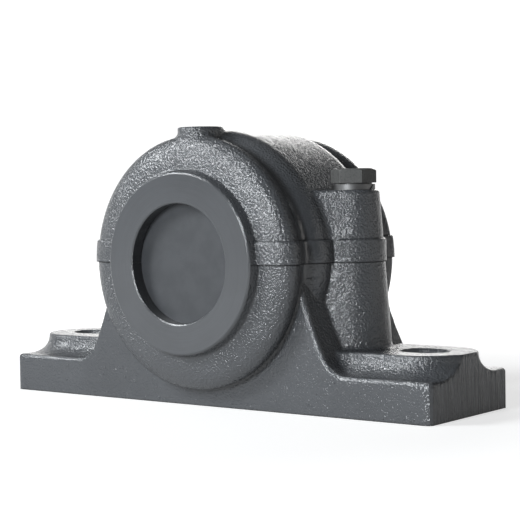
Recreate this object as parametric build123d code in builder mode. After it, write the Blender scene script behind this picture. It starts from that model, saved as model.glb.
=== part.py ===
"""Split plummer block with a self-aligning ball bearing on an adapter sleeve.

X runs along the foot, Y along the shaft and Z upwards. The origin is on the
underside of the foot, midway between its ends and its sides. The blanked end of
the housing faces -Y and the shaft leaves towards +Y. All sizes are millimetres.
"""

from build123d import *
from math import cos, radians, sin, sqrt, tan
import os

os.makedirs("parts", exist_ok=True)

# ---------------------------------------------------------------- driving sizes
# Foot and pedestal
FOOT_LENGTH = 258.0
FOOT_WIDTH = 70.0
FLANGE_HEIGHT = 19.0
PAD_HEIGHT = 29.0
PAD_HALF_WIDTH = 23.0
PAD_END_X = 107.0
CORNER_RADIUS = 3.0
EDGE_RADIUS = 1.8
SLOT_SPACING = 210.0
SLOT_WIDTH = 18.0
SLOT_LENGTH = 24.0
SLOT_EDGE = 1.2
FLARE_START = 84.6
FLARE_FOOT_RADIUS = 14.0
FLARE_FOOT_TURN = 64
FLARE_RADIUS = 187.0
FLARE_TURN = 11.5

# Bearing housing
AXIS_HEIGHT = 70.0
BODY_WIDTH = 105.0
BARREL_RADIUS = 64.5
NOSE_RADIUS = 61.5
NOSE_CREST = 40.0
NOSE_BULGE = 7.2
RING_RADIUS = 43.5
RING_ROOT_RADIUS = 45.0
RING_ROOT = NOSE_CREST + NOSE_BULGE
RIM_CHAMFER = 0.5
CREST_RADIUS = 12.0
WAIST_RADIUS = 6.0
WAIST_IN = 25
WAIST_OUT = 40
OPENING_RADIUS = 29.0
CAVITY_RADIUS = 49.0
CAVITY_HALF = 36.0
SEAT_HALF = 19.0
GROOVE_RADIUS = 37.0
GROOVE_INNER = 39.5
GROOVE_OUTER = 45.5

# Joint between cap and base
BAND_HEIGHT = 11.0
BAND_PROUD = 1.2
BAND_EDGE = 1.1
BOLT_X = 66.5
COLUMN_RADIUS = 14.6
COLUMN_TOP = 104.0
COLUMN_DRAFT = 4.0
COLUMN_SPREAD = 22
COLUMN_REACH = 20.0
BLEND_RADIUS = 2.8
FOOT_BLEND = 2.5
BOLT_RADIUS = 6.0
BOLT_LENGTH = 60.0
HEAD_FLATS = 19.0
HEAD_HEIGHT = 7.5
WASHER_THICKNESS = 2.6
WASHER_RADIUS = 10.3
DOWEL_X = 56.0
DOWEL_Y = 28.0
DOWEL_RADIUS = 3.0
DOWEL_LENGTH = 16.0

# Lubrication boss on the cap
BOSS_Y = -33.0
BOSS_RADIUS = 11.2
BOSS_TOP = 135.5
PLUG_RADIUS = 5.0
PLUG_LENGTH = 8.0

# Bearing and adapter sleeve
BEARING_OUTER = 55.0
BEARING_HALF = 14.0
BALL_RADIUS = 6.75
PITCH_RADIUS = 43.0
ROW_OFFSET = 7.0
BALLS_PER_ROW = 16
BALL_PLAY = 0.05
BEARING_EDGE = 1.2
SHOULDER_RADIUS = 39.5
CAGE_INNER = 40.3
CAGE_OUTER = 46.8
CAGE_HALF = 12.0
LOCATING_GAP = 12.0
SPHERE_RADIUS = sqrt(PITCH_RADIUS**2 + ROW_OFFSET**2) + BALL_RADIUS + BALL_PLAY
SHAFT_RADIUS = 27.5
BORE_SMALL = 30.0
TAPER = 1 / 24
SLEEVE_FRONT = -28.0
SLEEVE_REAR = 19.0
NUT_RADIUS = 40.0
NUT_WIDTH = 11.0
LOCK_WASHER = 1.5

FIT = 0.03
END_FACE = BODY_WIDTH / 2
SHAFT_AXIS = Axis((0, 0, AXIS_HEIGHT), (0, 1, 0))
JOINT_PLANE = Plane.XY.offset(AXIS_HEIGHT)
# Profiles turned about the shaft: local x runs along the shaft, local y outwards.
SHAFT_PROFILE = Plane(origin=(0, 0, AXIS_HEIGHT), x_dir=(0, 1, 0), z_dir=(1, 0, 0))


def export(piece, name):
    """Label one finished piece and write it to its own STEP file."""
    piece.part.label = name
    export_step(piece.part, f"parts/{name}.step")


# ------------------------------------------------------------- shared form tools
# Bored seat, cored chambers, seal grooves and the two end openings.
with BuildPart() as hollow:
    with BuildSketch(SHAFT_PROFILE):
        with BuildLine():
            Polyline(
                (0, 0),
                (END_FACE + 1, 0),
                (END_FACE + 1, OPENING_RADIUS + 1.6),
                (END_FACE - 0.6, OPENING_RADIUS),
                (GROOVE_OUTER, OPENING_RADIUS),
                (GROOVE_OUTER, GROOVE_RADIUS),
                (GROOVE_INNER, GROOVE_RADIUS),
                (GROOVE_INNER, OPENING_RADIUS + 2),
                (CAVITY_HALF, OPENING_RADIUS + 2),
                (CAVITY_HALF, CAVITY_RADIUS - 3),
                (CAVITY_HALF - 3, CAVITY_RADIUS),
                (SEAT_HALF, CAVITY_RADIUS),
                (SEAT_HALF, BEARING_OUTER),
                (0, BEARING_OUTER),
                close=True,
            )
        make_face()
        mirror(about=Plane.YZ)
    revolve(axis=SHAFT_AXIS)

# Cap bolt holes: clearance through the cap, tapped depth in the base.
BOLT_TIP = COLUMN_TOP + WASHER_THICKNESS - BOLT_LENGTH
with BuildPart() as bolt_holes:
    with BuildSketch(JOINT_PLANE):
        with Locations((-BOLT_X, 0), (BOLT_X, 0)):
            Circle(BOLT_RADIUS + 0.75)
    extrude(amount=COLUMN_TOP - AXIS_HEIGHT + 1)
    with BuildSketch(JOINT_PLANE):
        with Locations((-BOLT_X, 0), (BOLT_X, 0)):
            Circle(BOLT_RADIUS + FIT)
    extrude(amount=BOLT_TIP - 4 - AXIS_HEIGHT)

# Dowel holes, one in front on the left and one behind on the right.
with BuildPart() as dowel_holes:
    with BuildSketch(JOINT_PLANE):
        with Locations((-DOWEL_X, -DOWEL_Y), (DOWEL_X, DOWEL_Y)):
            Circle(DOWEL_RADIUS + FIT)
    extrude(amount=DOWEL_LENGTH / 2 + 0.5, both=True)


def body_profile(proud=0.0):
    """Draw the outline from the nose's root over crest and waist to the barrel's middle.

    proud moves the outline outwards, for the band that follows the body.
    """
    EllipticalCenterArc(
        (NOSE_CREST, RING_ROOT_RADIUS),
        NOSE_BULGE + proud,
        NOSE_RADIUS + proud - RING_ROOT_RADIUS,
        arc_size=90,
    )
    roll_off = JernArc((NOSE_CREST, NOSE_RADIUS + proud), (-1, 0), CREST_RADIUS + proud, WAIST_IN)
    waist = JernArc(roll_off @ 1, roll_off % 1, WAIST_RADIUS - proud, -WAIST_IN - WAIST_OUT)
    barrel_radius = BARREL_RADIUS + proud
    shoulder_radius = (barrel_radius - (waist @ 1).Y) / (1 - cos(radians(WAIST_OUT)))
    shoulder = JernArc(waist @ 1, waist % 1, shoulder_radius, WAIST_OUT)
    Line(shoulder @ 1, (0, barrel_radius))


# Noses, rings, waists and barrel as one turned form, halved at the joint later.
with BuildPart() as turned_body:
    with BuildSketch(SHAFT_PROFILE):
        with BuildLine():
            Polyline(
                (0, BARREL_RADIUS),
                (0, 0),
                (END_FACE, 0),
                (END_FACE, RING_RADIUS),
                (RING_ROOT, RING_ROOT_RADIUS),
            )
            body_profile()
        make_face()
        mirror(about=Plane.YZ)
    revolve(axis=SHAFT_AXIS)
    ring_rims = turned_body.edges().filter_by(GeomType.CIRCLE).filter_by(
        lambda edge: abs(edge.center().Y) > END_FACE - 0.1
    )
    chamfer(ring_rims, length=RIM_CHAMFER)


# ------------------------------------------------------------------ base casting
# Raised foot pads: concave sides, round ends that run out at the ends of the foot.
# The hollow dips a little below the flange, so that the two don't meet in a tangent.
PAD_RISE = PAD_HEIGHT - FLANGE_HEIGHT
PAD_LIP = 1.0
PAD_DIP = 0.25
PAD_HOLLOW = PAD_RISE - PAD_LIP + PAD_DIP
with BuildSketch(Plane.YZ.offset(-PAD_END_X)) as pad_section:
    with BuildLine():
        Polyline(
            (0, PAD_HEIGHT),
            (0, FLANGE_HEIGHT - 1),
            (PAD_HALF_WIDTH + PAD_HOLLOW, FLANGE_HEIGHT - 1),
            (PAD_HALF_WIDTH + PAD_HOLLOW, FLANGE_HEIGHT - PAD_DIP),
        )
        CenterArc((PAD_HALF_WIDTH + PAD_HOLLOW, PAD_HEIGHT - PAD_LIP), PAD_HOLLOW, 180, 90)
        CenterArc((PAD_HALF_WIDTH - PAD_LIP, PAD_HEIGHT - PAD_LIP), PAD_LIP, 0, 90)
        Line((PAD_HALF_WIDTH - PAD_LIP, PAD_HEIGHT), (0, PAD_HEIGHT))
    make_face()
with BuildPart() as pads:
    extrude(pad_section.sketch, amount=2 * PAD_END_X, dir=(1, 0, 0))
    mirror(about=Plane.XZ)
    revolve(pad_section.sketch, axis=Axis((-PAD_END_X, 0, 0), (0, 0, 1)))
    mirror(about=Plane.YZ)
    with BuildSketch(Plane.XY):
        Rectangle(FOOT_LENGTH, FOOT_WIDTH)
    extrude(amount=PAD_HEIGHT, mode=Mode.INTERSECT)

# Both bolt columns in plan, spreading inwards into the wall of the bore.
SPREAD = radians(COLUMN_SPREAD)
TANGENT_X = BOLT_X + COLUMN_RADIUS * sin(SPREAD)
TANGENT_Y = COLUMN_RADIUS * cos(SPREAD)
INNER_X = BOLT_X - COLUMN_REACH
INNER_Y = TANGENT_Y + (TANGENT_X - INNER_X) * tan(SPREAD)
with BuildSketch(JOINT_PLANE) as column_outline:
    with Locations((-BOLT_X, 0), (BOLT_X, 0)):
        Circle(COLUMN_RADIUS)
    with BuildLine():
        Polyline(
            (TANGENT_X, TANGENT_Y),
            (INNER_X, INNER_Y),
            (INNER_X, -INNER_Y),
            (TANGENT_X, -TANGENT_Y),
            close=True,
        )
    make_face()
    mirror(about=Plane.YZ)

# Foot and pedestal: flared flanks that end under the waist.
with BuildPart() as housing_base:
    with BuildSketch(Plane.XZ):
        with BuildLine():
            Polyline(
                (0, 0),
                (FOOT_LENGTH / 2, 0),
                (FOOT_LENGTH / 2, FLANGE_HEIGHT),
                (FLARE_START, FLANGE_HEIGHT),
            )
            flare_foot = JernArc(
                (FLARE_START, FLANGE_HEIGHT), (-1, 0), FLARE_FOOT_RADIUS, -FLARE_FOOT_TURN
            )
            flare = JernArc(flare_foot @ 1, flare_foot % 1, FLARE_RADIUS, -FLARE_TURN)
            Polyline(flare @ 1, (0, (flare @ 1).Y), (0, 0))
        make_face()
        mirror(about=Plane.YZ)
    extrude(amount=FOOT_WIDTH / 2, both=True)
    foot_corners = housing_base.edges().filter_by(Axis.Z).group_by(
        lambda edge: abs(edge.center().X)
    )[-1]
    fillet(foot_corners, radius=CORNER_RADIUS)
    web_outline = housing_base.faces().filter_by(Axis.Y).edges().filter_by(
        lambda edge: 0.1 < edge.center().Z < (flare @ 1).Y - 0.1
    )
    fillet(
        web_outline.filter_by(
            lambda edge: abs(edge.center().X) < FOOT_LENGTH / 2 - CORNER_RADIUS - 0.1
        ),
        radius=EDGE_RADIUS,
    )
    add(pads.part)

    # Columns that carry the cap bolts, spreading onto the pads.
    extrude(
        column_outline.sketch, amount=-(AXIS_HEIGHT - PAD_HEIGHT + 1), taper=-COLUMN_DRAFT
    )
    pad_feet = housing_base.edges().filter_by_position(
        Axis.Z, PAD_HEIGHT - 0.01, PAD_HEIGHT + 0.01
    ).filter_by(
        lambda edge: abs(edge.center().X) < FLARE_START
        and abs(edge.center().Y) < PAD_HALF_WIDTH - 2
    )
    fillet(pad_feet, radius=FOOT_BLEND)
    add(turned_body.part)
    split(bisect_by=JOINT_PLANE, keep=Keep.BOTTOM)
    add(hollow.part, mode=Mode.SUBTRACT)
    add(bolt_holes.part, mode=Mode.SUBTRACT)
    add(dowel_holes.part, mode=Mode.SUBTRACT)

    # Mounting slots with their top edges eased.
    with BuildSketch(Plane.XY):
        with Locations((-SLOT_SPACING / 2, 0), (SLOT_SPACING / 2, 0)):
            SlotOverall(SLOT_LENGTH, SLOT_WIDTH)
    extrude(amount=PAD_HEIGHT, mode=Mode.SUBTRACT)
    slot_rims = housing_base.edges().filter_by_position(
        Axis.Z, PAD_HEIGHT - 0.01, PAD_HEIGHT + 0.01
    ).filter_by(
        lambda edge: abs(abs(edge.center().X) - SLOT_SPACING / 2) < SLOT_LENGTH / 2
        and abs(edge.center().Y) < SLOT_WIDTH / 2 + 0.1
    )
    fillet(slot_rims, radius=SLOT_EDGE)
export(housing_base, "housing_base")


# Raised band round the lower edge of the cap, clear of the machined rings.
with BuildPart() as split_band:
    with BuildSketch(SHAFT_PROFILE):
        with BuildLine():
            Polyline(
                (0, BARREL_RADIUS + BAND_PROUD),
                (0, 0),
                (NOSE_CREST + NOSE_BULGE + BAND_PROUD, 0),
                (NOSE_CREST + NOSE_BULGE + BAND_PROUD, RING_ROOT_RADIUS),
            )
            body_profile(BAND_PROUD)
        make_face()
        mirror(about=Plane.YZ)
    revolve(axis=SHAFT_AXIS)
    with BuildSketch(JOINT_PLANE):
        Rectangle(FOOT_LENGTH, BODY_WIDTH)
    extrude(amount=BAND_HEIGHT, mode=Mode.INTERSECT)
    with BuildSketch(JOINT_PLANE):
        with Locations((-BOLT_X, 0), (BOLT_X, 0)):
            Circle(COLUMN_RADIUS + BAND_PROUD / 2)
    extrude(amount=BAND_HEIGHT)
    fillet(
        split_band.edges().filter_by_position(
            Axis.Z, AXIS_HEIGHT + BAND_HEIGHT - 0.01, AXIS_HEIGHT + BAND_HEIGHT + 0.01
        ),
        radius=BAND_EDGE,
    )


# ------------------------------------------------------------------- cap casting
with BuildPart() as housing_cap:
    add(turned_body.part)
    split(bisect_by=JOINT_PLANE, keep=Keep.TOP)

    # Columns under the bolt heads, running inwards into the barrel.
    extrude(column_outline.sketch, amount=COLUMN_TOP - AXIS_HEIGHT, taper=COLUMN_DRAFT)
    column_rims = housing_cap.edges().filter_by_position(
        Axis.Z, COLUMN_TOP - 0.01, COLUMN_TOP + 0.01
    )
    fillet(
        column_rims.filter_by(lambda edge: abs(edge.center().X) > BOLT_X - 10),
        radius=EDGE_RADIUS,
    )
    column_sides = housing_cap.edges().filter_by(GeomType.ELLIPSE).filter_by(
        lambda edge: AXIS_HEIGHT + 1 < edge.center().Z < COLUMN_TOP - 1
    )
    fillet(column_sides, radius=BLEND_RADIUS)
    add(split_band.part)

    # Lubrication boss, drilled through into the front chamber.
    with BuildSketch(Plane.XY.offset(BOSS_TOP)):
        with Locations((0, BOSS_Y)):
            Circle(BOSS_RADIUS)
    extrude(amount=-(BOSS_TOP - AXIS_HEIGHT - NOSE_RADIUS + 12))
    boss_rim = housing_cap.edges().filter_by_position(
        Axis.Z, BOSS_TOP - 0.01, BOSS_TOP + 0.01
    )
    fillet(boss_rim, radius=0.8)
    boss_foot = housing_cap.edges().filter_by(GeomType.BSPLINE).filter_by(
        lambda edge: edge.center().Z > AXIS_HEIGHT + NOSE_RADIUS - 8
        and (edge.center() - Vector(0, BOSS_Y, edge.center().Z)).length < BOSS_RADIUS + 1
    )
    fillet(boss_foot, radius=3)
    add(hollow.part, mode=Mode.SUBTRACT)
    add(bolt_holes.part, mode=Mode.SUBTRACT)
    add(dowel_holes.part, mode=Mode.SUBTRACT)
    with Locations((0, BOSS_Y, BOSS_TOP)):
        CounterBoreHole(
            radius=PLUG_RADIUS - 1,
            counter_bore_radius=PLUG_RADIUS + FIT,
            counter_bore_depth=PLUG_LENGTH + 1,
            depth=BOSS_TOP - AXIS_HEIGHT - CAVITY_RADIUS + 2,
        )
export(housing_cap, "housing_cap")


# ------------------------------------------------------- cap bolts, washers, pins
HEAD_SEAT = COLUMN_TOP + WASHER_THICKNESS
HEAD_FACE = 0.6
for side, name, turn in ((-1, "left", 42), (1, "right", 26)):
    with BuildPart() as cap_bolt:
        with BuildSketch(Plane.XY.offset(HEAD_SEAT + HEAD_FACE)):
            with Locations((side * BOLT_X, 0)):
                RegularPolygon(HEAD_FLATS / 2, 6, major_radius=False, rotation=turn)
        extrude(amount=HEAD_HEIGHT - HEAD_FACE)
        with BuildSketch(Plane.XY.offset(HEAD_SEAT)):
            with Locations((side * BOLT_X, 0)):
                Circle(HEAD_FLATS / 2 - 0.6)
        extrude(amount=HEAD_FACE)
        # Turned bevel that leaves the round top face of the hexagon.
        with BuildSketch(Plane.XZ):
            with BuildLine():
                corner = HEAD_FLATS / sqrt(3)
                head_top = HEAD_SEAT + HEAD_HEIGHT
                bevel = (corner - HEAD_FLATS / 2 + 0.4) * tan(radians(30))
                Polyline(
                    (side * BOLT_X, HEAD_SEAT),
                    (side * BOLT_X + corner, HEAD_SEAT),
                    (side * BOLT_X + corner, head_top - bevel),
                    (side * BOLT_X + HEAD_FLATS / 2 - 0.4, head_top),
                    (side * BOLT_X, head_top),
                    close=True,
                )
            make_face()
        revolve(axis=Axis((side * BOLT_X, 0, 0), (0, 0, 1)), mode=Mode.INTERSECT)
        with BuildSketch(Plane.XY.offset(HEAD_SEAT)):
            with Locations((side * BOLT_X, 0)):
                Circle(BOLT_RADIUS - FIT)
        extrude(amount=-BOLT_LENGTH)
        chamfer(cap_bolt.edges().group_by(Axis.Z)[0], length=1.0)
    export(cap_bolt, f"cap_bolt_{name}")

    with BuildPart() as spring_washer:
        with BuildSketch(Plane.XY.offset(COLUMN_TOP)):
            with Locations((side * BOLT_X, 0)):
                Circle(WASHER_RADIUS)
                Circle(BOLT_RADIUS + 0.2, mode=Mode.SUBTRACT)
        extrude(amount=WASHER_THICKNESS)
        # The coil's cut end, slanted across the ring on its outer side.
        with BuildSketch(Plane.YZ.offset(side * (BOLT_X + BOLT_RADIUS - 1))):
            with BuildLine():
                Polyline(
                    (-2.2, COLUMN_TOP - 0.1),
                    (-1.2, COLUMN_TOP - 0.1),
                    (2.2, HEAD_SEAT + 0.1),
                    (1.2, HEAD_SEAT + 0.1),
                    close=True,
                )
            make_face()
        extrude(amount=side * WASHER_RADIUS, mode=Mode.SUBTRACT)
    export(spring_washer, f"spring_washer_{name}")

for x, y, name in ((-DOWEL_X, -DOWEL_Y, "front_left"), (DOWEL_X, DOWEL_Y, "rear_right")):
    with BuildPart() as dowel_pin:
        with BuildSketch(JOINT_PLANE):
            with Locations((x, y)):
                Circle(DOWEL_RADIUS)
        extrude(amount=DOWEL_LENGTH / 2, both=True)
        chamfer(dowel_pin.edges().filter_by(GeomType.CIRCLE), length=0.5)
    export(dowel_pin, f"dowel_pin_{name}")

# Headless socket plug sunk just under the top of the boss.
with BuildPart() as lubrication_plug:
    with BuildSketch(Plane.XY.offset(BOSS_TOP - 0.6)):
        with Locations((0, BOSS_Y)):
            Circle(PLUG_RADIUS)
    extrude(amount=-PLUG_LENGTH)
    chamfer(lubrication_plug.edges().filter_by(GeomType.CIRCLE), length=0.6)
    with BuildSketch(Plane.XY.offset(BOSS_TOP - 0.6)):
        with Locations((0, BOSS_Y)):
            RegularPolygon(2.5, 6, major_radius=False)
    extrude(amount=-PLUG_LENGTH / 2, mode=Mode.SUBTRACT)
export(lubrication_plug, "lubrication_plug")


# --------------------------------------------------- blank end: cover and its cord
CORD_RADIUS = 1.75
CORD_RING = GROOVE_RADIUS - CORD_RADIUS - 0.05
COVER_FACE = -GROOVE_OUTER + 0.1
COVER_BACK = -GROOVE_INNER - 0.1
COVER_RIM = GROOVE_RADIUS - 0.3
CORD_Y = (COVER_FACE + COVER_BACK) / 2
with BuildPart() as end_cover:
    with BuildSketch(SHAFT_PROFILE):
        with BuildLine():
            Polyline(
                (COVER_FACE, 0),
                (COVER_FACE, COVER_RIM),
                (CORD_Y - CORD_RADIUS - 0.1, COVER_RIM),
                (CORD_Y - CORD_RADIUS - 0.1, CORD_RING - CORD_RADIUS - 0.1),
                (CORD_Y + CORD_RADIUS + 0.1, CORD_RING - CORD_RADIUS - 0.1),
                (CORD_Y + CORD_RADIUS + 0.1, COVER_RIM),
                (COVER_BACK, COVER_RIM),
                (COVER_BACK, OPENING_RADIUS + 1),
                (COVER_FACE + 2, OPENING_RADIUS - 1),
                (COVER_FACE + 2, 0),
                close=True,
            )
        make_face()
    revolve(axis=SHAFT_AXIS)
export(end_cover, "end_cover")

with BuildPart() as cover_cord:
    with BuildSketch(SHAFT_PROFILE):
        with Locations((CORD_Y, CORD_RING)):
            Circle(CORD_RADIUS)
    revolve(axis=SHAFT_AXIS)
export(cover_cord, "cover_seal_cord")


# --------------------------------------- shaft end: two-lip seal in two half rings
LIP_RADIUS = SHAFT_RADIUS + 0.15
LIP_BACK = LIP_RADIUS + 0.7
SEAL_BODY = OPENING_RADIUS + 0.2
for keep, name in ((Keep.TOP, "upper"), (Keep.BOTTOM, "lower")):
    with BuildPart() as seal_half:
        with BuildSketch(SHAFT_PROFILE):
            with BuildLine():
                Polyline(
                    (GROOVE_INNER + 0.1, GROOVE_RADIUS - 0.1),
                    (GROOVE_OUTER - 0.1, GROOVE_RADIUS - 0.1),
                    (GROOVE_OUTER - 0.1, OPENING_RADIUS - 0.1),
                    (GROOVE_OUTER + 3.8, LIP_BACK),
                    (GROOVE_OUTER + 3.8, LIP_RADIUS),
                    (GROOVE_OUTER - 1.8, LIP_RADIUS + 0.35),
                    (GROOVE_OUTER - 3.0, SEAL_BODY + 0.4),
                    (GROOVE_INNER + 1.8, LIP_RADIUS + 0.35),
                    (GROOVE_INNER - 1.4, LIP_RADIUS),
                    (GROOVE_INNER - 1.4, LIP_BACK),
                    (GROOVE_INNER + 0.1, SEAL_BODY),
                    close=True,
                )
            make_face()
        revolve(axis=SHAFT_AXIS)
        split(bisect_by=JOINT_PLANE, keep=keep)
    export(seal_half, f"shaft_seal_{name}")


# ------------------------------------------------- locating rings beside the bearing
for side, name in ((-1, "front"), (1, "rear")):
    with BuildPart() as locating_ring:
        with BuildSketch(SHAFT_PROFILE):
            ring_middle = ((BEARING_HALF + SEAT_HALF) / 2, (CAVITY_RADIUS + BEARING_OUTER) / 2)
            with Locations((side * ring_middle[0], ring_middle[1])):
                Rectangle(
                    SEAT_HALF - BEARING_HALF - 2 * FIT,
                    BEARING_OUTER - CAVITY_RADIUS - 2 * FIT,
                )
        revolve(axis=SHAFT_AXIS)
        chamfer(locating_ring.edges().filter_by(GeomType.CIRCLE), length=0.5)
        # The ring is open at the top so that it can be sprung round the shaft.
        with BuildSketch(Plane.XZ):
            with Locations((0, AXIS_HEIGHT + BEARING_OUTER)):
                Rectangle(LOCATING_GAP, 2 * (BEARING_OUTER - CAVITY_RADIUS) + 4)
        extrude(amount=2 * SEAT_HALF, both=True, mode=Mode.SUBTRACT)
    export(locating_ring, f"locating_ring_{name}")


# ------------------------------------------------------------------------ bearing
# Outer ring: one spherical raceway, so that the shaft can find its own line.
with BuildPart() as outer_ring:
    with BuildSketch(SHAFT_PROFILE):
        with BuildLine():
            mouth = sqrt(SPHERE_RADIUS**2 - BEARING_HALF**2)
            rim = BEARING_OUTER - FIT
            Polyline(
                (BEARING_HALF, mouth),
                (BEARING_HALF, rim - BEARING_EDGE),
                (BEARING_HALF - BEARING_EDGE, rim),
                (BEARING_EDGE - BEARING_HALF, rim),
                (-BEARING_HALF, rim - BEARING_EDGE),
                (-BEARING_HALF, mouth),
            )
            RadiusArc((-BEARING_HALF, mouth), (BEARING_HALF, mouth), SPHERE_RADIUS)
        make_face()
    revolve(axis=SHAFT_AXIS)
export(outer_ring, "bearing_outer_ring")


def bore_radius(y):
    """Radius of the tapered seat between inner ring and sleeve at a place along Y."""
    return BORE_SMALL + (y + BEARING_HALF) * TAPER


# Inner ring: taper bore and two ball grooves.
GROOVE_ARC = BALL_RADIUS * 1.037
GROOVE_CENTRE = PITCH_RADIUS - BALL_RADIUS - BALL_PLAY + GROOVE_ARC
GROOVE_REACH = sqrt(GROOVE_ARC**2 - (GROOVE_CENTRE - SHOULDER_RADIUS) ** 2)
with BuildPart() as inner_ring:
    with BuildSketch(SHAFT_PROFILE):
        with BuildLine():
            Polyline(
                (ROW_OFFSET + GROOVE_REACH, SHOULDER_RADIUS),
                (BEARING_HALF, SHOULDER_RADIUS),
                (BEARING_HALF, bore_radius(BEARING_HALF) + FIT),
                (-BEARING_HALF, bore_radius(-BEARING_HALF) + FIT),
                (-BEARING_HALF, SHOULDER_RADIUS),
                (-ROW_OFFSET - GROOVE_REACH, SHOULDER_RADIUS),
            )
            for row in (-ROW_OFFSET, ROW_OFFSET):
                ThreePointArc(
                    (row - GROOVE_REACH, SHOULDER_RADIUS),
                    (row, GROOVE_CENTRE - GROOVE_ARC),
                    (row + GROOVE_REACH, SHOULDER_RADIUS),
                )
            Line(
                (-ROW_OFFSET + GROOVE_REACH, SHOULDER_RADIUS),
                (ROW_OFFSET - GROOVE_REACH, SHOULDER_RADIUS),
            )
        make_face()
    revolve(axis=SHAFT_AXIS)
export(inner_ring, "bearing_inner_ring")

# Balls in two rows, the rear row half a pitch round from the front one.
BALL_PITCH = 360 / BALLS_PER_ROW
ball_places = {}
for row, offset, phase in (("front", -ROW_OFFSET, 0.0), ("rear", ROW_OFFSET, 0.5)):
    for index in range(BALLS_PER_ROW):
        angle = (index + phase) * BALL_PITCH
        centre = (
            PITCH_RADIUS * cos(radians(angle)),
            offset,
            AXIS_HEIGHT + PITCH_RADIUS * sin(radians(angle)),
        )
        ball_places[f"ball_{row}_{index + 1:02d}"] = Location(centre, (0, 90 - angle, 0))
for name, place in ball_places.items():
    with BuildPart() as ball:
        with Locations(place):
            Sphere(BALL_RADIUS)
    export(ball, name)

# Moulded cage that holds both rows at their pitch.
with BuildPart() as ball_cage:
    with BuildSketch(SHAFT_PROFILE):
        with Locations((0, (CAGE_INNER + CAGE_OUTER) / 2)):
            Rectangle(2 * CAGE_HALF, CAGE_OUTER - CAGE_INNER)
    revolve(axis=SHAFT_AXIS)
    with Locations(*ball_places.values()):
        Sphere(BALL_RADIUS + 0.2, mode=Mode.SUBTRACT)
export(ball_cage, "ball_cage")


# ------------------------------------------------- adapter sleeve, washer and nut
SLIT_WIDTH = 3.0
KEYWAY_WIDTH = 9.5
THREAD_RADIUS = BORE_SMALL - FIT
with BuildPart() as adapter_sleeve:
    with BuildSketch(SHAFT_PROFILE):
        with BuildLine():
            Polyline(
                (SLEEVE_FRONT, SHAFT_RADIUS),
                (SLEEVE_FRONT, THREAD_RADIUS - 1),
                (SLEEVE_FRONT + 1, THREAD_RADIUS),
                (-BEARING_HALF, THREAD_RADIUS),
                (SLEEVE_REAR, bore_radius(SLEEVE_REAR) - FIT),
                (SLEEVE_REAR, SHAFT_RADIUS),
                close=True,
            )
        make_face()
    revolve(axis=SHAFT_AXIS)
    # One slit along the top, widened to a keyway through the thread.
    with BuildSketch(Plane.XY.offset(AXIS_HEIGHT)):
        with Locations((0, (SLEEVE_FRONT + SLEEVE_REAR) / 2)):
            Rectangle(SLIT_WIDTH, SLEEVE_REAR - SLEEVE_FRONT + 2)
        with Locations((0, (SLEEVE_FRONT - BEARING_HALF) / 2 - 0.5)):
            Rectangle(KEYWAY_WIDTH, -BEARING_HALF - SLEEVE_FRONT + 1)
    extrude(amount=BORE_SMALL + 5, mode=Mode.SUBTRACT)
export(adapter_sleeve, "adapter_sleeve")

WASHER_FRONT = -BEARING_HALF - LOCK_WASHER
TAB_COUNT = 13
TAB_WIDTH = 7.0
TAB_TIP = 43.0
TAB_ROOT = 37.5
with BuildPart() as lock_washer:
    with BuildSketch(Plane.XZ.offset(BEARING_HALF)):
        with Locations((0, AXIS_HEIGHT)):
            Circle(TAB_ROOT)
            with PolarLocations(TAB_ROOT, TAB_COUNT, start_angle=90):
                Rectangle(2 * (TAB_TIP - TAB_ROOT), TAB_WIDTH)
            Circle(BORE_SMALL + 0.2, mode=Mode.SUBTRACT)
        with Locations((0, AXIS_HEIGHT + BORE_SMALL - 0.6)):
            Rectangle(KEYWAY_WIDTH - 0.4, 2.4)
    extrude(amount=LOCK_WASHER)
    # The tab that is folded forward into a slot of the nut.
    with BuildSketch(Plane.XZ.offset(-WASHER_FRONT)):
        with Locations((0, AXIS_HEIGHT + NUT_RADIUS - 1.2)):
            Rectangle(TAB_WIDTH, LOCK_WASHER)
    extrude(amount=4.0)
export(lock_washer, "lock_washer")

NUT_SLOTS = 4
NUT_SLOT_WIDTH = 8.0
NUT_SLOT_DEPTH = 3.5
with BuildPart() as lock_nut:
    with BuildSketch(Plane.XZ.offset(-WASHER_FRONT)):
        with Locations((0, AXIS_HEIGHT)):
            Circle(NUT_RADIUS)
            Circle(BORE_SMALL + FIT, mode=Mode.SUBTRACT)
    extrude(amount=NUT_WIDTH)
    chamfer(lock_nut.faces().sort_by(Axis.Y)[0].edges(), length=1.2)
    with BuildSketch(Plane.XZ.offset(-WASHER_FRONT)):
        with Locations((0, AXIS_HEIGHT)):
            with PolarLocations(NUT_RADIUS, NUT_SLOTS, start_angle=90):
                Rectangle(2 * NUT_SLOT_DEPTH, NUT_SLOT_WIDTH)
    extrude(amount=NUT_WIDTH, mode=Mode.SUBTRACT)
export(lock_nut, "lock_nut")
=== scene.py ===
"""Looks of the split plummer block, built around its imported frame.

Castings, bolts, seals and bearing keep their CAD meshes and get finishes with cast grain, turning
marks, wear and dust. What the CAD leaves out is grown here: the thread ridges of the cap bolts and
the plug, and the low specks that a sand mould leaves on the foot's sides. Lengths are metres
unless a name says mm.
"""

import logging
import math
from dataclasses import dataclass
from enum import Enum
from functools import partial, reduce
from typing import Optional, Union

import bpy
from mathutils import Matrix, Vector


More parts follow.
